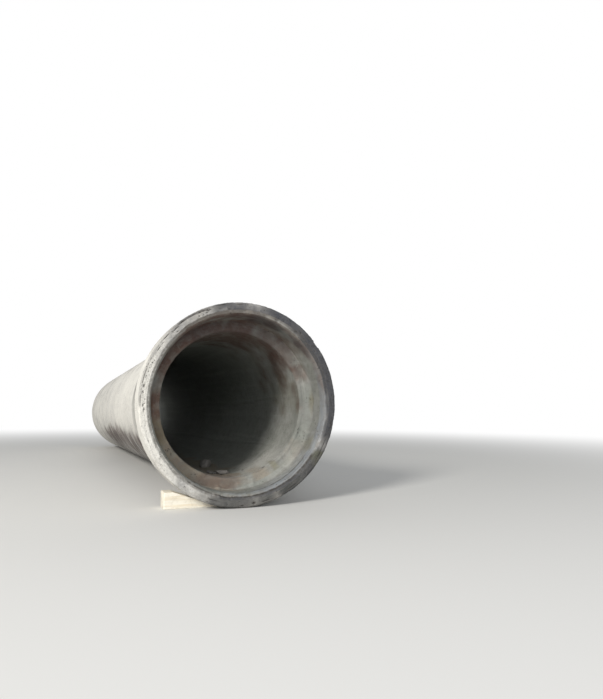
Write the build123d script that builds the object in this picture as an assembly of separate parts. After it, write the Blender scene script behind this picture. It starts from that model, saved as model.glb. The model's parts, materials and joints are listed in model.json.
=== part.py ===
from build123d import *
import os
from math import atan2, cos, degrees, radians, sin, tan

os.makedirs("parts", exist_ok=True)

# Pipe, in mm, measured along its own axis from the bell's end face
length = 5000
bore_diameter = 800
barrel_wall = 55

# Bell, outside
bell_diameter = 1060
collar_length = 138
collar_step = 8
flare_length = 490
flare_angle = 6
face_arris = 12
collar_arris = 5

# Bell, inside
socket_diameter = 924
socket_depth = 195
entry_depth = 55
entry_rise = 8
lip_depth = 9
lip_rise = 20
shoulder_bevel = 10

# Spigot, which goes into the socket of the next pipe with a rubber ring round it
ring_gap = 12
spigot_length = 190
spigot_taper = 30
nose_length = 14
nose_drop = 7

# Wooden wedge under the left of the bell
chock_height = 84
chock_width = 100
chock_toe = 5
chock_slope = 15.5
chock_setback = 95
seat_gap = 0.3

bore_radius = bore_diameter / 2
barrel_radius = bore_radius + barrel_wall
bell_radius = bell_diameter / 2
neck_radius = bell_radius - collar_step
flare_end = collar_length + flare_length
socket_radius = socket_diameter / 2
entry_radius = socket_radius + entry_rise
lip_radius = entry_radius + lip_rise
spigot_radius = socket_radius - ring_gap
spigot_start = length - spigot_length
barrel_end = spigot_start - spigot_taper
nose_start = length - nose_length
collar_end = collar_length - collar_arris
neck_turn = radians(flare_angle)


def rest_slope():
    """Angle of the axis when the pipe lies on a level floor, on its collar and its far end."""
    far_corners = [(barrel_end, barrel_radius), (nose_start, spigot_radius)]
    return min(atan2(bell_radius - radius, place - collar_end) for place, radius in far_corners)


def axis_height(place):
    """Height of the pipe's axis above the floor at a place along it."""
    return mouth_height - place * sin(slope)


def pipe_outside():
    """Outer half of the section, from the lip of the mouth to the end of the spigot."""
    return [
        Line((0, lip_radius), (0, bell_radius - face_arris)),
        TangentArc((0, bell_radius - face_arris), (face_arris, bell_radius), tangent=(0, 1)),
        Line((face_arris, bell_radius), (collar_end, bell_radius)),
        TangentArc((collar_end, bell_radius), (collar_length, bell_radius - collar_arris), tangent=(1, 0)),
        Line((collar_length, bell_radius - collar_arris), (collar_length, neck_radius)),
        Spline((collar_length, neck_radius), (flare_end, barrel_radius),
               tangents=((cos(neck_turn), -sin(neck_turn)), (1, 0))),
        Polyline((flare_end, barrel_radius), (barrel_end, barrel_radius), (spigot_start, spigot_radius),
                 (nose_start, spigot_radius), (length, spigot_radius - nose_drop)),
    ]


def pipe_inside():
    """Inner half of the section, from the end of the spigot back to the lip of the mouth."""
    return [
        Polyline((length, spigot_radius - nose_drop), (length, bore_radius),
                 (socket_depth + shoulder_bevel, bore_radius), (socket_depth, bore_radius + shoulder_bevel),
                 (socket_depth, socket_radius), (entry_depth, socket_radius),
                 (lip_depth, entry_radius), (0, lip_radius)),
    ]


def make_pipe():
    """One casting, turned about its own axis and laid down at its rest slope."""
    section = Plane.YZ * make_face(pipe_outside() + pipe_inside())
    return Rot(X=-degrees(slope)) * revolve(section, Axis.Y)


def make_chock():
    """Wedge with its slope against the left of the collar and its sole on the floor."""
    angle = radians(chock_slope)
    reach = bell_radius + seat_gap
    touch_x = -reach * sin(angle)
    touch_z = axis_height(collar_end) - reach * cos(angle)
    heel_x = touch_x - (chock_height - touch_z) / tan(angle)
    toe_x = touch_x + (touch_z - chock_toe) / tan(angle)
    side = Plane.XZ * make_face(Polyline(
        (heel_x, 0), (heel_x, chock_height), (toe_x, chock_toe), (toe_x, 0), close=True))
    return Pos(0, mouth_y + chock_setback, 0) * extrude(side, -chock_width)


slope = rest_slope()
mouth_height = collar_end * sin(slope) + (bell_radius - collar_arris) * cos(slope) + collar_arris

# The pipe's middle is brought over the origin
pipe = make_pipe()
box = pipe.bounding_box()
mouth_y = -(box.max.Y + box.min.Y) / 2
pipe = Pos(0, mouth_y, mouth_height) * pipe
chock = make_chock()

export_step(pipe, "parts/pipe.step")
export_step(chock, "parts/chock.step")

# Places on the axis, for the mounts
direction = Vector(0, cos(slope), -sin(slope))
mouth = Vector(0, mouth_y, mouth_height)
print("slope in degrees", round(degrees(slope), 4), "axis", [round(v, 6) for v in direction])
for name, place in (("mouth", 0), ("entry end", entry_depth), ("socket end", socket_depth),
                    ("bore start", socket_depth + shoulder_bevel), ("spigot start", spigot_start),
                    ("spigot end", nose_start), ("pipe end", length)):
    print(name, [round(v, 3) for v in mouth + direction * place])
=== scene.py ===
import bmesh
import bpy
import json
import math
import numpy as np
from mathutils import Matrix, Vector, noise


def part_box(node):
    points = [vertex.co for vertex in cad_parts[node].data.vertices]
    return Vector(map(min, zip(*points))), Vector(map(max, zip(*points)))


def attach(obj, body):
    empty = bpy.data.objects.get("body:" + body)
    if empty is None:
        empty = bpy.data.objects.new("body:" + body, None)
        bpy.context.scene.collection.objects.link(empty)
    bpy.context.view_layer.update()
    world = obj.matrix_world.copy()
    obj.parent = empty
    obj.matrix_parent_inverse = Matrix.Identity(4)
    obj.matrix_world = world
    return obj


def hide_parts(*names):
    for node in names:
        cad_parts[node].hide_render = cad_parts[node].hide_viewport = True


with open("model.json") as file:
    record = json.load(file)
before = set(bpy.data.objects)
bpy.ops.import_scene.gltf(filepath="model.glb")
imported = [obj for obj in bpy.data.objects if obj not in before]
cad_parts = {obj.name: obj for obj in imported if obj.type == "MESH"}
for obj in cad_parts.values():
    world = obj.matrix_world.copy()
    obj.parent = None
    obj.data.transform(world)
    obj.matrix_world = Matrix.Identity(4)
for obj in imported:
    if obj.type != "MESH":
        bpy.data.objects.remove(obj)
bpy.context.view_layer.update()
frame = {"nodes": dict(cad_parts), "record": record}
print("frame loaded:", ", ".join(sorted(frame["nodes"])))

mounts = {mount["name"]: mount for mount in frame["record"]["mounts"]}


# Placing things on the pipe

casting = {                       # metres, measured along the pipe's own axis from the bell's face
    "length": 5.0,
    "boreRadius": mounts["bore"]["dims"]["r_mm"] / 1000,
    "socketRadius": mounts["socket"]["dims"]["r_mm"] / 1000,
    "spigotRadius": mounts["spigot"]["dims"]["r_mm"] / 1000,
    "bellRadius": 0.530,
    "barrelRadius": 0.455,
    "faceArris": 0.012,
    "collarLength": 0.138,
    "collarArris": 0.005,
    "collarStep": 0.008,
    "flareEnd": 0.628,
    "flareAngle": 6,              # degrees, where the flare leaves the collar
    "flarePull": 1.2,             # how long the curve keeps its end directions
    "lipRadius": 0.490,
    "lipDepth": 0.009,
    "entryRadius": 0.470,
    "entryDepth": 0.055,
    "socketDepth": 0.195,
    "shoulderBevel": 0.010,
    "spigotLength": 0.190,
    "spigotTaper": 0.030,
    "noseLength": 0.014,
    "noseDrop": 0.007,
    "sidesFine": 768,             # points round the rim
    "sidesMiddle": 384,           # round the rest of the bell, the near bore and the spigot
    "sidesCoarse": 192,           # round the long barrel and the deep bore
    "fineCollar": 0.036,          # how far back the collar has the fine points
    "fineEntry": (0.016, 0.4688), # place and radius where those of the lead-in begin
    "nearBore": 0.95,             # how deep the bore has the middle points
    "farBore": 0.06,              # and how much of its far end
    "jointBand": 0.006,           # half of the band of close points at each joint
}

pipeAxis = Vector(mounts["bore"]["axis"]).normalized()
pipeRight = Vector((1, 0, 0))
pipeUp = pipeRight.cross(pipeAxis)
mouth = Vector(mounts["bore"]["pos_m"]) - pipeAxis * (
    casting["length"] - mounts["bore"]["dims"]["length_mm"] / 2000)


def onPipe(along, radius, angle):          # arrays or numbers; the angle is anticlockwise from the right
    along, radius, angle = np.broadcast_arrays(along, radius, angle)
    return (np.array(mouth)
            + along[..., None] * np.array(pipeAxis)
            + (radius * np.cos(angle))[..., None] * np.array(pipeRight)
            + (radius * np.sin(angle))[..., None] * np.array(pipeUp))


def smooth(value, low, high):              # 0 below low, 1 above high
    share = np.clip((value - low) / (high - low), 0, 1)
    return share * share * (3 - 2 * share)


def fade(value, full, gone):               # 1 below full, 0 above gone
    return smooth(-value, -gone, -full)


def turnFrom(angle, centre):               # signed difference of angles, in degrees
    return (np.degrees(angle) - centre + 180) % 360 - 180


def grit(points, scale, octaves=4):        # rough noise, about -1 to 1
    return np.array([noise.fractal(Vector(p), 1.0, 2.0, octaves) for p in points * scale])


def spaced(count, growth=1.0):             # shares from 0 towards 1, the 1 left out
    steps = growth ** np.arange(count)
    return np.concatenate([[0], np.cumsum(steps)[:-1]]) / steps.sum()


def link(name, data):
    thing = bpy.data.objects.new(name, data)
    bpy.context.collection.objects.link(thing)
    return thing


def pieceFrom(mesh, crease):               # smooth, but sharp where faces meet at more than crease degrees
    mesh.polygons.foreach_set("use_smooth", [True] * len(mesh.polygons))
    mesh.set_sharp_from_angle(angle=math.radians(crease))
    return link(mesh.name, mesh)


# Shader building

class Wire:
    # a socket that takes part in sums
    def __init__(self, look, socket):
        self.look, self.socket = look, socket

    def maths(self, operation, *values):
        return self.look.add("ShaderNodeMath", {"operation": operation}, dict(enumerate(values)))

    def __add__(self, other):
        return self.maths("ADD", self, other)

    def __radd__(self, other):
        return self.maths("ADD", other, self)

    def __sub__(self, other):
        return self.maths("SUBTRACT", self, other)

    def __rsub__(self, other):
        return self.maths("SUBTRACT", other, self)

    def __mul__(self, other):
        return self.maths("MULTIPLY", self, other)

    def __rmul__(self, other):
        return self.maths("MULTIPLY", other, self)


class Look:
    # the nodes of one material, or of the world
    def __init__(self, owner):
        owner.use_nodes = True
        self.owner, self.tree = owner, owner.node_tree
        self.tree.nodes.clear()

    def add(self, kind, settings=None, values=None, out=0):
        node = self.tree.nodes.new(kind)
        for key, value in (settings or {}).items():
            setattr(node, key, value)
        for key, value in (values or {}).items():
            if isinstance(value, Wire):
                self.tree.links.new(value.socket, node.inputs[key])
            else:
                node.inputs[key].default_value = value
        return Wire(self, node.outputs[out]) if len(node.outputs) else None

    def mix(self, share, first, second):                 # colours
        return self.add("ShaderNodeMix", {"data_type": "RGBA"}, {0: share, 6: first, 7: second}, out=2)

    def stretch(self, place, scale):                     # vectors
        return self.add("ShaderNodeVectorMath", {"operation": "MULTIPLY"}, {0: place, 1: scale})

    def cloud(self, place, scale, detail=4.0, rough=0.55, warp=0.0):
        return self.add("ShaderNodeTexNoise", None, {
            "Vector": place, "Scale": scale, "Detail": detail, "Roughness": rough, "Distortion": warp})

    def cells(self, place, scale):
        return self.add("ShaderNodeTexVoronoi", None, {"Vector": place, "Scale": scale})

    def step(self, value, low, high):                    # 0 at low, 1 at high, eased
        return self.add("ShaderNodeMapRange", {"interpolation_type": "SMOOTHSTEP"},
                        {"Value": value, "From Min": low, "From Max": high})

    def mark(self, name):                                # a value stored on the mesh's points
        return self.add("ShaderNodeAttribute", {"attribute_name": name}, out="Fac")

    def most(self, first, second):
        return self.add("ShaderNodeMath", {"operation": "MAXIMUM"}, {0: first, 1: second})

    def finish(self, colour, roughness, height, depth, specular):
        bump = self.add("ShaderNodeBump", None, {"Height": height, "Distance": depth, "Strength": 1.0})
        surface = self.add("ShaderNodeBsdfPrincipled", None,
                           {"Base Color": colour, "Roughness": roughness, "Normal": bump,
                            "Specular IOR Level": specular})
        self.add("ShaderNodeOutputMaterial", None, {"Surface": surface})
        return self.owner

    def seen(self):                                      # 1 where the camera looks, or a reflection of it
        rays = [self.add("ShaderNodeLightPath", out=name)
                for name in ("Is Camera Ray", "Is Glossy Ray", "Is Transmission Ray")]
        return self.most(self.most(rays[0], rays[1]), rays[2])


def paint(red, green, blue):               # a colour as the eye reads it, 0 to 255
    def linear(value):
        value /= 255
        return value / 12.92 if value <= 0.04045 else ((value + 0.055) / 1.055) ** 2.4
    return (linear(red), linear(green), linear(blue), 1.0)


# The pipe's shape

wear = {                                   # metres and degrees, unless it says otherwise
    "seed": 7,
    "slowWave": 0.0012,                    # long hollows and swells of the whole casting
    "grain": {                             # roughness of each zone
        "face": 0.0019, "edge": 0.0015, "collar": 0.0011, "flare": 0.0006, "barrel": 0.0005,
        "spigot": 0.0006, "end": 0.0010, "bore": 0.0006, "shoulder": 0.0015, "socket": 0.0008,
        "entry": 0.0014, "lip": 0.0022},
    "waveScale": 2.6, "patchScale": 7.0, "lumpScale": 30, "grainScale": 55,       # noises, per metre

    "rimLoss": 0.0038,                     # what is worn off the outer edge all round
    "rimChips": [                          # angle, half angle, depth and lean
        (154, 2.0, 0.0050, 60), (143, 3.0, 0.0065, 65), (134, 5.0, 0.0095, 62), (121, 6.0, 0.0100, 55),
        (112, 3.0, 0.0060, 60), (97, 2.0, 0.0045, 45), (74, 4.0, 0.0050, 45), (57, 3.0, 0.0045, 60),
        (38, 4.0, 0.0085, 66), (25, 5.0, 0.0045, 70), (12, 6.0, 0.0045, 72), (1, 3.0, 0.0045, 68),
        (-11, 5.0, 0.0050, 70), (-23, 3.0, 0.0065, 55), (-36, 6.0, 0.0050, 68), (-48, 3.0, 0.0050, 60),
        (-63, 5.0, 0.0060, 65), (-84, 3.0, 0.0045, 60), (-104, 4.0, 0.0045, 60), (-131, 3.0, 0.0045, 60),
        (-158, 3.0, 0.0040, 60)],
    "lipLoss": 0.0018,
    "lipChips": [
        (149, 1.6, 0.0030, 45), (128, 2.2, 0.0035, 50), (88, 2.5, 0.0035, 40), (52, 3.0, 0.0040, 45),
        (20, 4.0, 0.0040, 50), (-31, 5.0, 0.0050, 40), (-55, 3.0, 0.0045, 45), (-100, 4.0, 0.0040, 50)],
    "backLoss": 0.003,                     # the collar's edge behind
    "backChips": [
        (160, 2.0, 0.005, 45), (131, 4.0, 0.007, 45), (85, 6.0, 0.008, 40), (33, 4.0, 0.011, 50),
        (-20, 5.0, 0.007, 45), (-75, 3.0, 0.006, 45), (-150, 4.0, 0.006, 50)],
    "shoulderLoss": (0.003, 0.006),        # all round, and what more on the right
    "shoulderChips": [
        (118, 5.0, 0.008, 45), (40, 4.0, 0.012, 50), (21, 3.0, 0.012, 45), (-88, 3.0, 0.010, 45),
        (-140, 5.0, 0.006, 45)],
    "noseLoss": (0.003, 0.002),            # the spigot's end, outside and in the bore
    "noseChips": [
        (170, 5.0, 0.008, 45), (100, 4.0, 0.009, 50), (35, 7.0, 0.012, 45), (-40, 4.0, 0.008, 40),
        (-110, 6.0, 0.009, 50)],
    "smallHalf": (0.4, 1.5),               # small breaks of every edge, from least to most
    "smallDepth": (0.0015, 0.0045),
    "breakReach": (0.06, 0.035),           # breaks stay this near their edge, along and across
    "deepestBreak": 0.03,

    "facePits": 64,                        # air holes in the face
    "pitRow": (153, 186, 24),              # the close row of them: from, to, and how many
    "pitRowRadius": (0.508, 0.005, 0.003), # where it lies, how far it wanders, and its scatter
    "pitRowSizes": (0.002, 0.005),         # the least, and what more at most
    "pitLengths": (0.8, 3.2),              # how drawn out each hole is round the rim
    "pitRadii": (0.493, 0.523),            # where on the face they lie
    "pitSizes": (0.0015, 0.0035),
    "holeDepth": 0.0045,                   # of air holes, scars and gouges
    "scars": [                             # ragged grooves: angle, half angle, radius, half width
        (116, 4.2, 0.517, 0.0065), (112, 2.6, 0.511, 0.0045), (103, 5.5, 0.521, 0.0035),
        (122, 3.4, 0.522, 0.0045), (129, 3.8, 0.520, 0.0045), (134, 3.4, 0.513, 0.0040),
        (141, 4.4, 0.520, 0.0030), (148, 5.0, 0.512, 0.0028), (93, 3.4, 0.516, 0.0030),
        (-28, 11.0, 0.508, 0.0024), (-12, 9.0, 0.514, 0.0020), (-44, 6.0, 0.519, 0.0022),
        (-76, 4.0, 0.515, 0.0022), (-108, 5.0, 0.505, 0.0022), (-58, 5.0, 0.511, 0.0025)],
    "rimLine": (0.5215, 163, 24, 0.0016),  # thin line in the face: radius, angle, half angle, half width
    "gougesAndShadow": [                            # in the bore: along and angle of both ends, half width; the first is a shallow groove darkened as the painted shadow under the flat crumb
        (0.47, -93, 0.27, -88, 0.008), (0.225, -62, 0.240, -61, 0.011)],
    "creases": ((0.009, ("lip", "entry")), (0.055, ("entry", "socket"))),    # worn lines: along, zones
    "creaseTurn": (-92, 62),               # where: angle and half angle
    "creaseHalf": 0.0035,
    "creaseDepth": 0.0013,

    "joints": (2.125, 3.815),              # lines round the barrel left by the mould
    "jointHalf": 0.002,
    "jointDepth": 0.0022,
    "seams": (6, -38),                     # raised lines along the bore
    "seamHalf": 0.9,
    "seamHeight": 0.0022,
    "seamWander": (1.5, 3),                # how far they wander, and how fast along the bore
    "burr": 0.006,                         # on the bore's edge
    "burrTurn": (180, 30),
    "burrEnds": (0.22, 0.30),              # where along it fades
    "burrReach": 0.005,                    # how far it goes out on the shoulder
    "silt": 0.006,                         # dried along the bottom of the bore
    "siltTurn": (-91, 7, 16),              # where: angle, full within, none beyond
    "siltUneven": 14,                      # how far its outline comes and goes
    "siltStarts": (0.22, 0.30),
    "siltThins": (1.4, 3.0),
    "crust": 0.0030,                       # lime grown on the lower lip
    "crustTurn": (-62, 38, 72),
    "crustUneven": 26,
    "fillet": 0.040,                       # mortar left in the corner of the socket
    "filletTurn": (-32, 58),
    "filletLeast": 0.004,
}


def sectionRows():
    # the closed section, from the lip over the face, along the outside and back through the bore
    c = casting
    fine, middle, coarse = c["sidesFine"], c["sidesMiddle"], c["sidesCoarse"]
    length, bell, barrel, spigot = c["length"], c["bellRadius"], c["barrelRadius"], c["spigotRadius"]
    socket, bore = c["socketRadius"], c["boreRadius"]
    neck = bell - c["collarStep"]
    nose = spigot - c["noseDrop"]
    bevel = bore + c["shoulderBevel"]
    collarEnd = c["collarLength"] - c["collarArris"]
    spigotStart = length - c["spigotLength"]
    barrelEnd = spigotStart - c["spigotTaper"]
    noseStart = length - c["noseLength"]
    boreStart = c["socketDepth"] + c["shoulderBevel"]
    rows = []                              # place along, radius, points round and zone

    def line(zone, sides, start, end, count, growth=1.0):
        for share in spaced(count, growth):
            rows.append((start[0] + (end[0] - start[0]) * share,
                         start[1] + (end[1] - start[1]) * share, sides, zone))

    def arc(zone, sides, centre, radius, first, last, count):
        for share in spaced(count):
            turn = math.radians(first + (last - first) * share)
            along, across = centre[0] + radius * math.cos(turn), centre[1] + radius * math.sin(turn)
            rows.append((along, across, sides, zone))

    def flare(count):
        start, end = c["collarLength"], c["flareEnd"]
        pull = math.hypot(end - start, neck - barrel) * c["flarePull"]
        lean = math.radians(c["flareAngle"])
        for t in spaced(count):
            keepStart, keepEnd = 2 * t**3 - 3 * t**2 + 1, 3 * t**2 - 2 * t**3
            leave, arrive = t**3 - 2 * t**2 + t, t**3 - t**2
            along = keepStart * start + keepEnd * end + pull * (leave * math.cos(lean) + arrive)
            across = keepStart * neck + keepEnd * barrel - pull * leave * math.sin(lean)
            rows.append((along, across, middle, "flare"))

    line("face", fine, (0, c["lipRadius"]), (0, bell - c["faceArris"]), 9)
    arc("edge", fine, (c["faceArris"], bell - c["faceArris"]), c["faceArris"], 180, 90, 6)
    line("collar", fine, (c["faceArris"], bell), (c["fineCollar"], bell), 6)
    line("collar", middle, (c["fineCollar"], bell), (collarEnd, bell), 12)
    arc("collar", middle, (collarEnd, bell - c["collarArris"]), c["collarArris"], 90, 0, 3)
    line("collar", middle, (c["collarLength"], bell - c["collarArris"]), (c["collarLength"], neck), 2)
    flare(26)
    start = c["flareEnd"]
    for place in wear["joints"]:
        before, after = place - c["jointBand"], place + c["jointBand"]
        line("barrel", coarse, (start, barrel), (before, barrel), 18)
        line("barrel", coarse, (before, barrel), (after, barrel), 4)
        start = after
    line("barrel", coarse, (start, barrel), (barrelEnd, barrel), 12)
    line("spigot", coarse, (barrelEnd, barrel), (spigotStart, spigot), 3)
    line("spigot", middle, (spigotStart, spigot), (noseStart, spigot), 11)
    line("spigot", middle, (noseStart, spigot), (length, nose), 3)
    line("end", middle, (length, nose), (length, bore), 7)
    line("bore", middle, (length, bore), (length - c["farBore"], bore), 4)
    line("bore", coarse, (length - c["farBore"], bore), (c["nearBore"], bore), 38, 0.98)
    line("bore", middle, (c["nearBore"], bore), (boreStart, bore), 30, 0.95)
    line("shoulder", middle, (boreStart, bore), (c["socketDepth"], bevel), 3)
    line("shoulder", middle, (c["socketDepth"], bevel), (c["socketDepth"], socket), 9)
    line("socket", middle, (c["socketDepth"], socket), (c["entryDepth"], socket), 17)
    line("entry", middle, (c["entryDepth"], socket), c["fineEntry"], 6)
    line("entry", fine, c["fineEntry"], (c["lipDepth"], c["entryRadius"]), 2)
    line("lip", fine, (c["lipDepth"], c["entryRadius"]), (0, c["lipRadius"]), 7)
    return rows


class Surface:
    # every point of the true section turned round the axis, and the noises there
    def __init__(self, rows):
        line = np.array([row[:2] for row in rows])
        tangent = np.roll(line, -1, 0) - np.roll(line, 1, 0)
        normal = np.stack([-tangent[:, 1], tangent[:, 0]], 1) / np.linalg.norm(tangent, axis=1)[:, None]
        girth = np.cumsum(np.hypot(*np.diff(line, axis=0, prepend=line[:1]).T))
        self.sizes = [row[2] for row in rows]            # points in each ring
        ring = np.repeat(np.arange(len(rows)), self.sizes)
        self.along, self.radius = line[ring, 0], line[ring, 1]
        self.alongOut, self.radialOut = normal[ring, 0], normal[ring, 1]
        self.girth = girth[ring]                         # along the section's outline
        self.angle = np.concatenate([np.arange(n) * 2 * math.pi / n for n in self.sizes])
        self.zone = np.array([row[3] for row in rows])[ring]
        self.inZone = {name: self.zone == name for name in wear["grain"]}
        places = onPipe(self.along, self.radius, self.angle)
        self.slow = grit(places, wear["waveScale"], 2)
        self.patchy = grit(places, wear["patchScale"], 3)
        self.lumpy = grit(places, wear["lumpScale"], 2)
        self.ragged = grit(places, wear["grainScale"], 4)

    def within(self, *zones):
        return np.any([self.inZone[name] for name in zones], axis=0)

    def turn(self, centre):                              # how far round from there, in degrees
        return np.abs(turnFrom(self.angle, centre))


def mouldRelief(s):
    # joints of the mould round the barrel, its seams along the bore,
    # and a burr on the left of the bore's edge
    w = wear
    relief = np.zeros(len(s.angle))
    for place in w["joints"]:
        groove = w["jointDepth"] * np.exp(-((s.along - place) / w["jointHalf"]) ** 2)
        relief -= np.where(s.within("barrel"), groove, 0)
    far, often = w["seamWander"]
    for seam in w["seams"]:
        turn = turnFrom(s.angle, seam + far * np.sin(s.along * often))
        ridge = w["seamHeight"] * np.exp(-(turn / w["seamHalf"]) ** 2)
        relief += np.where(s.within("bore"), ridge, 0)
    centre, half = w["burrTurn"]
    burr = w["burr"] * fade(s.turn(centre), 0, half) * fade(s.along, *w["burrEnds"])
    besideBore = s.within("shoulder") & (s.radius < casting["boreRadius"] + w["burrReach"])
    return relief + np.where(s.within("bore") | besideBore, burr, 0)


def deposits(s):
    # where silt lies on the bottom of the bore, and lime on the lower lip
    w = wear
    centre, full, gone = w["siltTurn"]
    lies = fade(s.turn(centre) - w["siltUneven"] * s.patchy, full, gone)
    silt = np.where(s.within("bore", "shoulder"), lies, 0)
    silt *= smooth(s.along, *w["siltStarts"]) * (1 - 0.6 * smooth(s.along, *w["siltThins"]))
    centre, full, gone = w["crustTurn"]
    grown = fade(s.turn(centre) - w["crustUneven"] * s.patchy, full, gone)
    crust = np.where(s.within("lip", "entry"), grown, 0)
    crust *= smooth(s.lumpy, -0.6, 0.6)
    return silt, crust


def wornLines(s):
    # at the lip's inner edge and at the end of the lead-in
    w = wear
    crease = np.zeros(len(s.angle))
    for place, zones in w["creases"]:
        line = np.exp(-((s.along - place) / w["creaseHalf"]) ** 2)
        crease = np.maximum(crease, np.where(s.within(*zones), line, 0))
    centre, half = w["creaseTurn"]
    return crease * fade(s.turn(centre) / half - 0.8 * s.patchy, 0.6, 1.1) * smooth(s.ragged, -1.1, 0.2)


def airHoles(s, random):
    # in the face, some spread all round and some in one close row on the left
    w = wear
    first, last, count = w["pitRow"]
    spread = w["facePits"]
    turns = np.radians(np.concatenate([random.uniform(-180, 180, spread),
                                       random.uniform(first, last, count)]))
    middle, wander, scatter = w["pitRowRadius"]
    rowRadii = middle + wander * np.sin(turns[spread:] * 11) + random.normal(0, scatter, count)
    radii = np.concatenate([random.uniform(*w["pitRadii"], spread), rowRadii])
    least, more = w["pitRowSizes"]
    sizes = np.concatenate([random.uniform(*w["pitSizes"], spread),
                            least + more * random.uniform(0, 1, count) ** 2])
    lengths = random.uniform(*w["pitLengths"], spread + count)
    hole = np.zeros(len(s.angle))
    onFace = np.where(s.within("face", "edge"))[0]
    for turn, radius, size, length in zip(turns, radii, sizes, lengths):
        across = np.radians(turnFrom(s.angle[onFace], math.degrees(turn))) * radius / length
        gap = np.hypot(s.radius[onFace] - radius, across) * (1 + 0.9 * s.ragged[onFace])
        hole[onFace] = np.maximum(hole[onFace], fade(gap, 0.1 * size, size))
    return hole


def scratches(s):
    # a thin line and ragged scars in the face, and in the bore a gouge and a groove darkened as painted
    # shadow under a crumb
    w = wear
    onFace, boreRadius = s.within("face", "edge"), casting["boreRadius"]
    middle, centre, half, width = w["rimLine"]
    thin = 0.8 * fade(s.turn(centre), 0.7 * half, half) * smooth(s.ragged, -0.35, 0.2)
    thin *= np.exp(-((s.radius - middle - 0.0015 * s.slow) / width) ** 2)
    hole = np.where(onFace, thin, 0)
    for centre, half, middle, width in w["scars"]:
        far = np.hypot(turnFrom(s.angle, centre) / half, (s.radius - middle - 0.003 * s.patchy) / width)
        scar = fade(far * (1 + 0.7 * s.ragged), 0.35, 1.1) * smooth(s.ragged, -0.9, 0.1)
        hole = np.maximum(hole, np.where(onFace, scar, 0))
    spots = np.stack([s.along, np.radians(turnFrom(s.angle, 0)) * boreRadius], 1)
    for first, firstTurn, last, lastTurn, half in w["gougesAndShadow"]:
        start = np.array([first, math.radians(firstTurn) * boreRadius])
        run = np.array([last, math.radians(lastTurn) * boreRadius]) - start
        share = np.clip((spots - start) @ run / (run @ run), 0, 1)
        far = np.linalg.norm(spots - start - share[:, None] * run, axis=1) * (1 + 0.5 * s.ragged)
        hole = np.maximum(hole, np.where(s.within("bore"), fade(far, 0.3 * half, half), 0))
    return hole


def mortarFillet(s, along, radius):
    # how far mortar fills the corner of the socket
    c, w = casting, wear
    centre, half = w["filletTurn"]
    leg = w["fillet"] * fade(s.turn(centre) / half - 0.35 * s.patchy, 0.77, 1.12) * (1 + 0.25 * s.patchy)
    short = (leg + 0.004 * s.ragged - (c["socketDepth"] - along) - (c["socketRadius"] - radius)) / 2
    filled = np.where(s.within("socket", "shoulder"), np.clip(short, 0, 0.03), 0)
    return filled * (leg > w["filletLeast"])


def broken(angle, chips, loss, small, random):
    # how far the edge is gone at each angle, and how each break leans
    def bowl(turn, half):
        return np.sqrt(np.clip(1 - (turn / half) ** 2, 0, 1))

    depth = np.zeros_like(angle)
    lean = np.full_like(angle, math.radians(45))
    for centre, half, deep, tilt in chips:
        turn = turnFrom(angle, centre) + half * 0.25 * np.sin(angle * 160 + centre)
        here = deep * bowl(turn, half)
        lean = np.where(here > depth, math.radians(tilt), lean)
        depth = np.maximum(depth, here)
    centres = random.uniform(-180, 180, small)
    halves = random.uniform(*wear["smallHalf"], small)
    depths = random.uniform(*wear["smallDepth"], small)
    for centre, half, deep in zip(centres, halves, depths):
        depth = np.maximum(depth, deep * bowl(turnFrom(angle, centre), half))
    uneven = grit(np.stack([np.cos(angle), np.sin(angle), 0 * angle], 1), 9.0)
    return np.maximum(depth, loss * (0.7 + 0.5 * uneven)), lean


def breakEdges(s, along, radius, random):
    # takes off what lies outside a leaning plane at each edge; returns the places and what was broken
    c, w = casting, wear
    wornAll, wornRight = w["shoulderLoss"]
    shoulderLoss = wornAll + wornRight * smooth(np.cos(s.angle + 0.2), -0.2, 0.6)
    edges = [                              # corner, the way out of it, chips, loss, number of small breaks
        ((0, c["bellRadius"]), (-1, 1), w["rimChips"], w["rimLoss"], 46),
        ((0, c["lipRadius"]), (-1, -1), w["lipChips"], w["lipLoss"], 10),
        ((c["collarLength"], c["bellRadius"]), (1, 1), w["backChips"], w["backLoss"], 46),
        ((c["socketDepth"], c["boreRadius"]), (-1, -1), w["shoulderChips"], shoulderLoss, 30),
        ((c["length"], c["spigotRadius"] - c["noseDrop"]), (1, 1), w["noseChips"], w["noseLoss"][0], 46),
        ((c["length"], c["boreRadius"]), (1, -1), w["noseChips"][::2], w["noseLoss"][1], 46),
    ]
    fresh = np.zeros(len(along))
    for corner, outward, chips, loss, small in edges:
        depth, lean = broken(s.angle, chips, loss, small, random)
        alongOut, radialOut = outward[0] * np.cos(lean), outward[1] * np.sin(lean)
        below = (corner[0] - along) * alongOut + (corner[1] - radius) * radialOut
        near = np.abs(along - corner[0]) < w["breakReach"][0]
        near &= np.abs(radius - corner[1]) < w["breakReach"][1]
        lack = np.where(near, depth * (1 + 0.25 * s.ragged) - below, 0)
        lack = np.clip(lack, 0, w["deepestBreak"])
        along, radius = along - alongOut * lack, radius - radialOut * lack
        fresh = np.maximum(fresh, smooth(lack, 0.0006, 0.003))
    return along, radius, fresh


def ringFaces(sizes):
    # faces between each ring and the next, the last joined to the first
    starts = np.concatenate([[0], np.cumsum(sizes)])
    faces = []
    for i, here in enumerate(sizes):
        after = (i + 1) % len(sizes)
        there, a, b = sizes[after], starts[i], starts[after]
        if here == there:
            j = np.arange(here)
            following = (j + 1) % here
            faces += np.stack([a + j, b + j, b + following, a + following], 1).tolist()
            continue
        halves = here > there                            # or else the next ring has twice the points
        few, many = (b, a) if halves else (a, b)
        j = np.arange(min(here, there))
        following, middle, last = (j + 1) % len(j), 2 * j + 1, (2 * j + 2) % max(here, there)
        for trio in ((few + j, many + middle, many + 2 * j),
                     (few + following, many + middle, few + j),
                     (few + following, many + last, many + middle)):
            faces += np.stack(trio if halves else trio[::-1], 1).tolist()
    return faces


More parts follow.
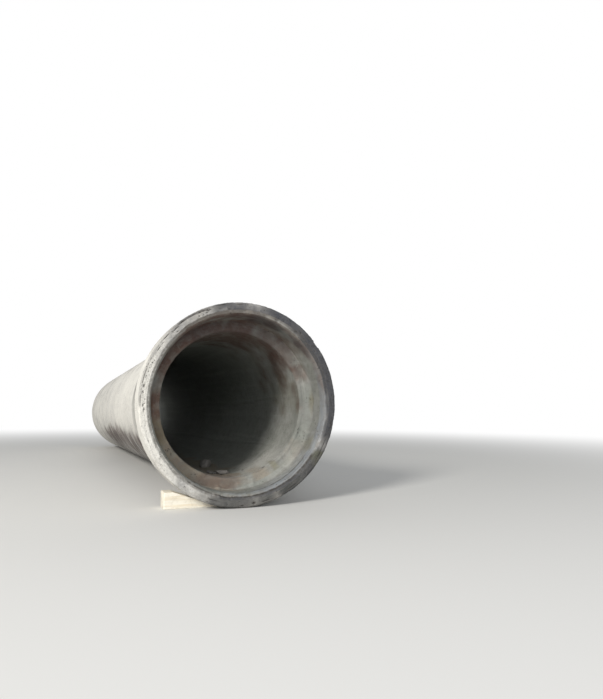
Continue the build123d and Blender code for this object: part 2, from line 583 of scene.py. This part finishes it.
def makePipe():
    w = wear
    random = np.random.default_rng(w["seed"])
    s = Surface(sectionRows())
    silt, crust = deposits(s)
    crease = wornLines(s)
    hole = np.maximum(airHoles(s, random), scratches(s))
    grain = np.array([w["grain"][name] for name in s.zone])

    out = w["slowWave"] * s.slow + grain * s.ragged + mouldRelief(s)
    out += w["silt"] * silt * (0.7 + 0.5 * s.ragged)
    out += w["crust"] * crust * (0.55 + 0.6 * s.ragged)
    out -= w["creaseDepth"] * crease
    out -= w["holeDepth"] * hole
    along = s.along + s.alongOut * out
    radius = s.radius + s.radialOut * out
    filled = mortarFillet(s, along, radius)
    along, radius, fresh = breakEdges(s, along - filled, radius - filled, random)

    mesh = bpy.data.meshes.new("weathered_pipe")
    mesh.from_pydata(onPipe(along, radius, s.angle).tolist(), [], ringFaces(s.sizes))
    marks = pipeMarks(s)
    marks.update(fresh=fresh, hole=np.maximum(hole, crease), silt=silt, crust=crust,
                 mortar=smooth(filled, 0.001, 0.012))
    for name, values in marks.items():
        mesh.attributes.new(name, "FLOAT", "POINT").data.foreach_set("value", values.astype(np.float32))
    return pieceFrom(mesh, 72)


# Where the stains, painted sunlight and painted shade lie

# how ragged the outline is, then the patches: zones, angle, half angle, along, half length, strength
stainsAndPaintedLight = {
    # painted sunlight: the left of the bell and the left flank turn pale; the weak patches inside are pale
    # stains
    "sunlitAndBleached": (0.45, [
        (("face", "lip", "edge", "collar"), 190, 56, 0.0, 0.5, 1.0),
        (("flare", "barrel", "spigot", "end"), 180, 76, 0.3, 6.5, 1.0),
        (("socket",), -45, 24, 0.12, 0.12, 0.15),
        (("bore",), -62, 26, 0.30, 0.26, 0.3)]),
    "chalk": (0.8, [
        (("entry", "lip"), -28, 58, 0.03, 0.06, 1.0),
        (("socket",), -50, 30, 0.09, 0.06, 0.6)]),
    "tan": (0.8, [
        (("shoulder",), -146, 62, 0.20, 0.05, 1.0),
        (("socket",), -120, 40, 0.17, 0.05, 0.7),
        (("bore", "shoulder"), -68, 7, 0.25, 0.12, 0.6),
        (("shoulder", "socket"), -38, 12, 0.18, 0.05, 0.3)]),
    "umber": (0.8, [
        (("shoulder", "socket"), 58, 34, 0.18, 0.14, 1.0),
        (("bore",), 60, 40, 0.24, 0.16, 0.7),
        (("entry",), 64, 40, 0.03, 0.08, 1.0),
        (("shoulder", "socket"), 26, 9, 0.19, 0.05, 0.9),
        (("shoulder",), -101, 17, 0.20, 0.04, 1.0),
        (("bore",), -100, 14, 0.27, 0.10, 0.8),
        (("lip", "entry"), 112, 46, 0.02, 0.06, 0.6)]),
    "rust": (0.8, [
        (("shoulder", "socket"), 126, 70, 0.17, 0.22, 1.0),
        (("entry",), 120, 60, 0.05, 0.06, 0.8),
        (("bore",), 98, 76, 0.30, 0.50, 0.9),
        (("shoulder", "bore"), 30, 4, 0.21, 0.025, 0.8),
        (("barrel",), -148, 12, 2.1, 1.4, 1.0)]),
    "soilAndShadow": (0.2, [
        (("barrel", "flare"), -136, 27, 1.9, 2.1, 1.0),
        (("barrel", "flare"), -112, 24, 1.2, 1.8, 0.5),
        # painted shadow of the bell: a dark band round the barrel just behind the flare
        (("barrel", "flare"), 184, 60, 0.755, 0.075, 0.9)]),
    "ochre": (0.8, [
        (("socket",), 2, 9, 0.165, 0.028, 0.9),
        (("socket", "entry"), -28, 6, 0.08, 0.06, 0.7),
        (("shoulder", "bore"), -54, 2.6, 0.24, 0.07, 0.8),
        (("shoulder",), -158, 10, 0.20, 0.04, 0.6),
        (("bore",), 8, 18, 0.32, 0.30, 0.35)]),
    "sootAndShade": (0.8, [
        (("face", "edge"), -2, 92, 0.0, 0.10, 1.0),
        (("collar", "flare"), -8, 84, 0.0, 0.26, 0.8),
        (("face", "edge", "collar"), 48, 36, 0.0, 0.10, 1.0),
        (("lip",), 42, 36, 0.0, 0.02, 1.0),
        (("lip",), -30, 60, 0.0, 0.0085, 0.9),
        (("entry", "socket"), 66, 26, 0.06, 0.10, 0.6),
        (("face", "lip", "edge", "collar"), -88, 29, 0.0, 0.10, 0.85),
        # painted shade: the top of the shoulder ring darker, where it faces the camera and catches more
        # light
        (("shoulder",), 78, 66, 0.20, 0.05, 0.45),
        (("shoulder", "socket", "entry", "bore"), -2, 32, 0.14, 0.34, 0.22),
        (("edge",), 124, 15, 0.0, 0.04, 0.8),
        (("edge",), 163, 22, 0.0, 0.04, 0.45)]),
    "blue": (0.8, [
        (("face", "edge", "collar"), 70, 24, 0.02, 0.10, 1.0),
        (("face", "edge"), 10, 40, 0.0, 0.02, 0.5),
        (("face", "lip", "edge"), -88, 26, 0.0, 0.02, 0.4)]),
    "moss": (0.8, [
        (("face", "edge", "lip"), -33, 5, 0.0, 0.02, 1.0),
        (("face", "edge", "collar"), -85, 26, 0.0, 0.10, 0.25),
        (("collar", "flare"), -30, 12, 0.10, 0.14, 0.5)]),
}


def pipeMarks(s):
    # one value per point for each stain or painted light and shade, and what the finish needs to know of
    # the place
    marks = {}
    for name, (uneven, patches) in stainsAndPaintedLight.items():
        marks[name] = np.zeros(len(s.angle))
        for zones, centre, half, middle, reach, strength in patches:
            far = np.hypot(turnFrom(s.angle, centre) / half, (s.along - middle) / reach)
            patch = strength * smooth(1.2 + uneven * s.patchy - far, -0.1, 0.8)
            marks[name] = np.maximum(marks[name], np.where(s.within(*zones), patch, 0))
    marks["along"] = s.along
    marks["girth"] = s.girth
    marks["inside"] = s.within("bore", "shoulder", "socket", "entry").astype(float)
    marks["rough"] = s.within("face", "edge", "lip", "end").astype(float)
    return marks


# Concrete

concrete = {
    "tones": {
        "warm": paint(180, 176, 168), "cool": paint(156, 155, 154), "dark": paint(120, 115, 116),
        # deep is paler than inner: painted light deep in the bore
        "pale": paint(206, 203, 196), "inner": paint(123, 127, 120), "deep": paint(138, 142, 135),
        "sunlitAndBleached": paint(236, 233, 225), "chalk": paint(136, 142, 150), "tan": paint(150, 132, 110),
        "umber": paint(112, 98, 88), "rust": paint(90, 64, 53), "soilAndShadow": paint(78, 73, 71),
        "ochre": paint(124, 119, 92), "sootAndShade": paint(50, 52, 56), "blue": paint(58, 62, 74),
        "moss": paint(84, 86, 60), "silt": paint(136, 126, 110), "crust": paint(152, 156, 160),
        "mortar": paint(147, 150, 143), "fresh": paint(150, 145, 136), "hole": paint(66, 62, 58),
        "stone": paint(126, 116, 104), "smudge": paint(104, 100, 96)},
    "shares": {                            # how much shows, and the least of that between its blotches
        "chalk": (0.6, 0.6), "tan": (0.7, 0.5), "umber": (0.85, 0.6), "rust": (0.95, 0.6),
        "soilAndShadow": (0.9, 0.5), "ochre": (0.7, 0.5), "sootAndShade": (0.94, 0.92), "blue": (0.6, 0.6),
        "moss": (0.6, 0.5)},
    "scales": {                            # of its noises, per metre; three numbers are along x, y, z
        "mottle": 5.5, "broad": 1.3, "sand": 420.0, "speck": 105.0, "smear": 30.0, "lumps": 90.0,
        "stones": 190.0, "pores": 62.0, "poreGroups": 11.0,
        "runs": (26.0, 26.0, 2.2),         # pale runs down the outside
        "bands": (1.6, 34.0, 1.6),         # faint bands round it
        "scour": (17.0, 0.7, 17.0),        # streaks along the bore
        "drip": (5.0, 22.0, 2.4),          # how stains outside are broken up
        "blotch": 17.0, "fresh": 60.0,     # how those inside are, and fresh breaks
        "layers": (9.0, 9.0, 9.0), "layersOut": 130},    # thin lines that follow the rim
    "paleFrom": (3.80, 3.86),              # the last length of the barrel is paler
    "deepLightFrom": (0.25, 1.3),               # the bore turns to its deep tone, paler than the near bore: painted light that makes up for the light falling off inside
    "jointDarkening": (0.012, 0.055),           # darker beside a joint: full within, none beyond
    "relief": 0.0028,
}


def weathered(look, colour, place, mottle, broad):
    # what the marks on the pipe's points add; returns the colour, how rough it is and how smudged
    tone, scale = concrete["tones"], concrete["scales"]
    along, inside = look.mark("along"), look.mark("inside")
    outside = 1 - inside
    runs = look.cloud(look.stretch(place, scale["runs"]), 1.0, 5.0, 0.6, 0.4)
    bands = look.cloud(look.stretch(place, scale["bands"]), 1.0, 4.0, 0.6)
    colour = look.mix(look.step(bands, 0.52, 0.74) * outside * 0.12, colour, tone["dark"])
    colour = look.mix(look.step(runs, 0.52, 0.72) * outside * 0.55, colour, tone["pale"])
    colour = look.mix(look.step(along, *concrete["paleFrom"]) * outside * 0.5, colour, tone["pale"])
    # darker bands round the barrel beside each joint
    for joint in wear["joints"]:
        offset = along - joint
        near = 1 - look.step(look.most(offset, 0 - offset), *concrete["jointDarkening"])
        colour = look.mix(near * outside * (0.2 + look.step(runs, 0.35, 0.6) * 0.4), colour, tone["smudge"])
    colour = look.mix(inside * (0.55 + look.step(mottle, 0.3, 0.7) * 0.35), colour, tone["inner"])
    # painted light: the deep bore turns paler than the near bore
    colour = look.mix(inside * look.step(along, *concrete["deepLightFrom"]) * 0.85, colour, tone["deep"])
    # painted sunlight on the left side as a pale tone, with pale stains inside
    sunlitAndBleached = look.mark("sunlitAndBleached") * (0.80 + look.step(broad, 0.35, 0.6) * 0.16)
    colour = look.mix(sunlitAndBleached, colour, tone["sunlitAndBleached"])
    colour = look.mix(look.mark("mortar") * 0.6, colour, tone["mortar"])
    scour = look.cloud(look.stretch(place, scale["scour"]), 1.0, 3.0, 0.6)
    colour = look.mix(look.step(scour, 0.52, 0.72) * inside * 0.15, colour, tone["pale"])
    colour = look.mix(look.mark("silt") * 0.8, colour, tone["silt"])
    colour = look.mix(look.mark("crust") * look.step(mottle, 0.3, 0.55) * 0.6, colour, tone["crust"])
    fresh = look.mark("fresh")
    chipped = fresh * look.step(look.cloud(place, scale["fresh"], 3.0), 0.35, 0.6)
    colour = look.mix(chipped * 0.6, colour, tone["fresh"])

    blotch = look.step(look.cloud(place, scale["blotch"], 5.0, 0.65, 0.6), 0.34, 0.58)
    drip = look.step(look.cloud(look.stretch(place, scale["drip"]), 1.0, 4.0, 0.65, 0.5), 0.40, 0.60)
    patch = inside * blotch + outside * drip
    for stain, (share, least) in concrete["shares"].items():
        shown = look.mark(stain) * (least + patch * (1 - least)) * share
        colour = look.mix(shown, colour, tone[stain])

    rough = look.most(look.mark("rough"), fresh)
    ringwise = look.add("ShaderNodeVectorMath", {"operation": "MULTIPLY_ADD"},
                        {0: place, 1: scale["layers"], 2: look.mark("girth") * scale["layersOut"]})
    layers = look.cloud(ringwise, 1.0, 4.0, 0.65)
    lines = look.mark("chalk") * 0.30 + 0.14
    colour = look.mix(look.step(layers, 0.50, 0.68) * (lines + rough * 0.10), colour, tone["smudge"])
    colour = look.mix(look.step(layers, 0.46, 0.30) * (0.06 + rough * 0.06), colour, tone["pale"])
    smudge = 0.32 - look.mark("sootAndShade") * 0.16 - sunlitAndBleached * outside * 0.20
    return colour, rough, smudge


def makeConcrete(name, marked=True):
    look, tone, scale = Look(bpy.data.materials.new(name)), concrete["tones"], concrete["scales"]
    place = look.add("ShaderNodeTexCoord", out="Object")
    mottle = look.cloud(place, scale["mottle"], 6.0, 0.62)
    broad = look.cloud(place, scale["broad"], 3.0, 0.5)
    sand = look.cloud(place, scale["sand"], 2.0, 0.6)
    speck = look.step(look.cloud(place, scale["speck"], 2.0, 0.7), 0.54, 0.70)
    colour = look.mix(look.step(mottle, 0.36, 0.66), tone["cool"], tone["warm"])
    colour = look.mix(look.step(broad, 0.42, 0.68) * 0.45, colour, tone["pale"])
    colour = look.mix(speck * 0.3, colour, tone["pale"])
    if marked:
        colour, rough, smudge = weathered(look, colour, place, mottle, broad)
    else:
        colour = look.mix(0.75, colour, tone["smudge"])
        rough, smudge = look.step(mottle, 0.1, 0.2), 0.32

    smear = look.step(look.cloud(place, scale["smear"], 6.0, 0.72), 0.42, 0.64)
    colour = look.mix(smear * smudge, colour, tone["smudge"])
    stones = look.step(look.cells(place, scale["stones"]), 0.18, 0.42)
    colour = look.mix((1 - stones) * rough * 0.30, colour, tone["stone"])
    colour = look.mix(look.step(sand, 0.45, 0.75) * 0.18, colour, tone["dark"])
    if marked:
        # the hole tone darkens air holes, scars, worn lines and gouges, and is painted shadow along the
        # groove under the flat crumb
        colour = look.mix(look.mark("hole") * 0.92, colour, tone["hole"])
    groups = look.step(look.cloud(place, scale["poreGroups"], 2.0), 0.50, 0.62)
    pores = (1 - look.step(look.cells(place, scale["pores"]), 0.13, 0.22)) * groups
    colour = look.mix(pores * 0.75, colour, tone["hole"])
    lumps = look.cloud(place, scale["lumps"], 3.0)
    height = sand * 0.16 + mottle * 0.5 + stones * rough * 0.35 - pores * 0.9 + lumps * 0.45
    roughness = 0.82 + look.step(mottle, 0.3, 0.7) * 0.12
    return look.finish(colour, roughness, height, concrete["relief"], specular=0.28)


pipe = makePipe()
pipe.data.materials.append(makeConcrete("weathered_concrete"))
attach(pipe, "root")
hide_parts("pipe")
print("pipe:", len(pipe.data.polygons), "faces")


# Crumbs of mortar lying in the bore

crumbs = {
    "seed": 60,
    "topCut": ((0.2, -0.2, 1), 0.24),      # the way it faces, and how far out it lies in a form 1 across
    "sideCuts": 8,                         # flat broken sides, facing at random
    "sideReach": (0.28, 0.42),
    "flatness": 0.9,                       # of the cuts, 1 at most
    "roughness": 0.10,
    "seated": 0.34,                        # how high the middle lies, as a share of the height
    "pieces": {                            # along, angle in degrees, length, width, height in metres
        "crumb_large": (0.86, -87, 0.084, 0.080, 0.084),
        "crumb_flat": (0.43, -88.5, 0.100, 0.086, 0.036),
        "crumb_split": (0.425, -99, 0.050, 0.044, 0.026),
        "crumb_small": (0.44, -95, 0.030, 0.028, 0.019),
        "crumb_edge": (0.40, -72, 0.018, 0.014, 0.009)},
}


def makeCrumb(name, along, angle, length, width, height, seed):
    random = np.random.default_rng(seed)
    facing, reach = crumbs["topCut"]
    cuts = [(Vector(facing).normalized(), reach)]
    for _ in range(crumbs["sideCuts"]):
        cuts.append((Vector(random.normal(0, 1, 3)).normalized(), random.uniform(*crumbs["sideReach"])))
    turn = math.radians(angle)
    up = -(pipeRight * math.cos(turn) + pipeUp * math.sin(turn))      # towards the pipe's axis
    side = up.cross(pipeAxis)
    seat = Vector(onPipe(along, casting["boreRadius"], turn))
    form = bmesh.new()
    bmesh.ops.create_icosphere(form, subdivisions=4, radius=0.5)
    for vert in form.verts:
        spot = vert.co.copy()
        for facing, reach in cuts:
            over = spot.dot(facing) - reach
            if over > 0:
                spot -= facing * over * crumbs["flatness"]
        rough = noise.fractal(vert.co * 5 + Vector((seed, 0, 0)), 1.0, 2.0, 4)
        spot *= 1 + crumbs["roughness"] * rough
        vert.co = (seat + pipeAxis * spot.x * length + side * spot.y * width
                   + up * (spot.z + crumbs["seated"]) * height)
    mesh = bpy.data.meshes.new(name)
    form.to_mesh(mesh)
    form.free()
    return pieceFrom(mesh, 40)


mortar = makeConcrete("loose_mortar", marked=False)
for number, (name, facts) in enumerate(crumbs["pieces"].items()):
    crumb = makeCrumb(name, *facts, crumbs["seed"] + number)
    crumb.data.materials.append(mortar)
    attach(crumb, "root")
print("crumbs:", len(crumbs["pieces"]))


# The wedge under the bell

wedge = {
    "toeHeight": 0.001,
    "slope": 19.0,                         # degrees; the heel is left flat above it
    "stations": 90,                        # sections from the heel to the toe
    "perSide": (22, 18, 22, 18),           # points across the sole, back, top and front
    "edgeRound": 0.0025,
    "roughness": 0.0006,
    "sawDepth": 0.0003,
    "sawPitch": 0.0045,
    "fray": 0.004,                         # how uneven the thin end is
    "frayLength": 0.03,
    "tones": {"pale": paint(244, 239, 226), "line": paint(230, 216, 190), "dirt": paint(196, 187, 170)},
    "rings": (3.0, 60.0, 60.0),            # how fine they are along the slope, and across
    "fibre": (12.0, 700.0, 700.0),
    "relief": 0.0012,
}


def makeWedge():
    w = wedge
    low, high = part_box("chock")
    length, depth, height = (high[i] - low[i] for i in range(3))

    def sawn(x, y, z, inset, top):         # the point with its worn edge, grain, saw marks and fray
        toEdge = max(min(abs(y - inset), abs(depth - inset - y)), min(abs(z - inset), abs(top - inset - z)))
        cut = w["edgeRound"] * 0.6 * max(0, 1 - toEdge / (w["edgeRound"] * 1.6))
        rough = noise.fractal(Vector((x * 26, y * 240, z * 240)), 1.0, 2.0, 3)
        inward = Vector((0, depth / 2 - y, top / 2 - z)).normalized()
        spot = Vector((x, y, z)) + inward * (cut + w["roughness"] * rough)
        if z > top - inset - 0.001:
            spot.z += math.sin(2 * math.pi * (x + 0.25 * y) / w["sawPitch"]) * w["sawDepth"]
        thin = (x - length + w["frayLength"]) / w["frayLength"]
        if thin > 0:
            spot.x -= w["fray"] * abs(noise.noise(Vector((y * 160, 3, 1)))) * thin
        spot.z = min(max(spot.z, 0), height)
        return Vector(low) + spot

    # sections lie closer at both ends, which are rounded
    stations = np.concatenate([[0, 0.0012, 0.003], np.linspace(0.006, length - 0.004, w["stations"]),
                               [length - 0.0015, length]])
    verts, faces = [], []
    for x in stations:
        top = min(height, w["toeHeight"] + (length - x) * math.tan(math.radians(w["slope"])))
        inset = w["edgeRound"] * max(0, 1 - min(x, length - x) / w["edgeRound"]) ** 2
        deepest, highest = depth - inset, top - inset
        corners = [(deepest, inset), (inset, inset), (inset, highest), (deepest, highest)]
        for side, count in enumerate(w["perSide"]):
            start, end = corners[side], corners[(side + 1) % 4]
            for share in spaced(count):
                y, z = (start[i] + (end[i] - start[i]) * share for i in range(2))
                verts.append(sawn(x, y, z, inset, top))

    around = sum(w["perSide"])
    for here in range(0, len(verts) - around, around):
        for j in range(around):
            following = (j + 1) % around
            faces.append((here + j, here + following, here + around + following, here + around + j))
    for base, inOrder in ((0, False), (len(verts) - around, True)):          # both ends are closed by a fan
        verts.append(sum((verts[base + j] for j in range(around)), Vector()) / around)
        for j in range(around):
            trio = (base + j, base + (j + 1) % around, len(verts) - 1)
            faces.append(trio if inOrder else trio[::-1])
    mesh = bpy.data.meshes.new("sawn_wedge")
    mesh.from_pydata([tuple(vert) for vert in verts], [], faces)
    return pieceFrom(mesh, 38)


def makeTimber():
    look, tone = Look(bpy.data.materials.new("sawn_softwood")), wedge["tones"]
    place = look.add("ShaderNodeTexCoord", out="Object")
    rings = look.cloud(look.stretch(place, wedge["rings"]), 1.6, 3.0, 0.5, 0.6)
    fibre = look.cloud(look.stretch(place, wedge["fibre"]), 1.0, 3.0, 0.6)
    dirt = look.step(look.cloud(place, 28.0, 4.0, 0.6), 0.50, 0.74)
    colour = look.mix(look.step(rings, 0.44, 0.64) * 0.7, tone["pale"], tone["line"])
    colour = look.mix(look.step(fibre, 0.40, 0.70) * 0.25, colour, tone["line"])
    colour = look.mix(dirt * 0.35, colour, tone["dirt"])
    height = fibre * 0.6 + rings * 0.5 + look.cloud(place, 300.0) * 0.2
    return look.finish(colour, 0.72 + dirt * 0.12, height, wedge["relief"], specular=0.3)


chock = makeWedge()
chock.data.materials.append(makeTimber())
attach(chock, "root")
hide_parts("chock")
print("wedge:", len(chock.data.polygons), "faces")


# Floor, light and camera

studio = {
    "floorSize": 80.0,
    "floorTone": paint(226, 225, 222),
    "whiteFrom": 2.4, "whiteTo": 9.5,      # metres from the pipe's middle
    "worldLight": 0.44, "worldTone": (0.95, 0.975, 1.0, 1.0),
    "keyPlace": (-9.0, -8.9, 6.1), "keySize": 3.3, "keyPower": 1200.0, "keyTone": (1.0, 0.975, 0.93),
    "fillPlace": (-2.2, -12.0, 2.6), "fillSize": 4.0, "fillPower": 230.0, "fillTone": (0.93, 0.96, 1.0),
    "aim": (0.0, -2.0, 0.45),
}


def makeFloor():
    half = studio["floorSize"] / 2
    corners = [(-half, -half, 0), (half, -half, 0), (half, half, 0), (-half, half, 0)]
    mesh = bpy.data.meshes.new("studio_floor")
    mesh.from_pydata(corners, [], [(0, 1, 2, 3)])
    floor = link("studio_floor", mesh)
    look = Look(bpy.data.materials.new("pale_floor"))
    place = look.add("ShaderNodeTexCoord", out="Object")
    distance = look.add("ShaderNodeVectorMath", {"operation": "LENGTH"}, {0: place}, out="Value")
    white = look.step(distance, studio["whiteFrom"], studio["whiteTo"]) * look.seen()
    matt = look.add("ShaderNodeBsdfDiffuse", None, {"Color": studio["floorTone"]})
    glow = look.add("ShaderNodeEmission", None, {"Color": (1, 1, 1, 1), "Strength": 1.0})
    surface = look.add("ShaderNodeMixShader", None, {0: white, 1: matt, 2: glow})
    look.add("ShaderNodeOutputMaterial", None, {"Surface": surface})
    floor.data.materials.append(look.owner)


def makeWorld():
    world = bpy.data.worlds.new("pale_studio")
    bpy.context.scene.world = world
    look = Look(world)
    light = look.add("ShaderNodeBackground", None,
                     {"Color": studio["worldTone"], "Strength": studio["worldLight"]})
    shown = look.add("ShaderNodeBackground", None, {"Color": (1, 1, 1, 1), "Strength": 1.0})
    surface = look.add("ShaderNodeMixShader", None, {0: look.seen(), 1: light, 2: shown})
    look.add("ShaderNodeOutputWorld", None, {"Surface": surface})


def makeLamp(name):
    data = bpy.data.lights.new(name, "AREA")
    data.shape = "DISK"
    data.size, data.energy, data.color = (studio[name + fact] for fact in ("Size", "Power", "Tone"))
    place = Vector(studio[name + "Place"])
    lamp = link(name, data)
    lamp.location = place
    lamp.rotation_euler = (Vector(studio["aim"]) - place).to_track_quat("-Z", "Y").to_euler()


view = {                                   # where the photograph was taken from
    "fromMouth": (-0.8998, -2.8362, -0.0238),
    "yaw": 23.32, "pitch": 5.857, "roll": 0.36,     # degrees; yaw is to the right of +Y
    "lens": 29.36,
}


def makeCamera():
    data = bpy.data.cameras.new("photo_camera")
    data.lens, data.sensor_width = view["lens"], 36.0
    camera = link("photo_camera", data)
    yaw = Matrix.Rotation(math.radians(-view["yaw"]), 4, "Z")
    pitch = Matrix.Rotation(math.radians(90 + view["pitch"]), 4, "X")
    roll = Matrix.Rotation(math.radians(view["roll"]), 4, "Z")
    camera.matrix_world = Matrix.Translation(mouth + Vector(view["fromMouth"])) @ yaw @ pitch @ roll
    bpy.context.scene.camera = camera


makeFloor()
makeWorld()
makeLamp("key")
makeLamp("fill")
makeCamera()
bpy.context.scene.view_settings.view_transform = "Standard"
print("studio and camera set")
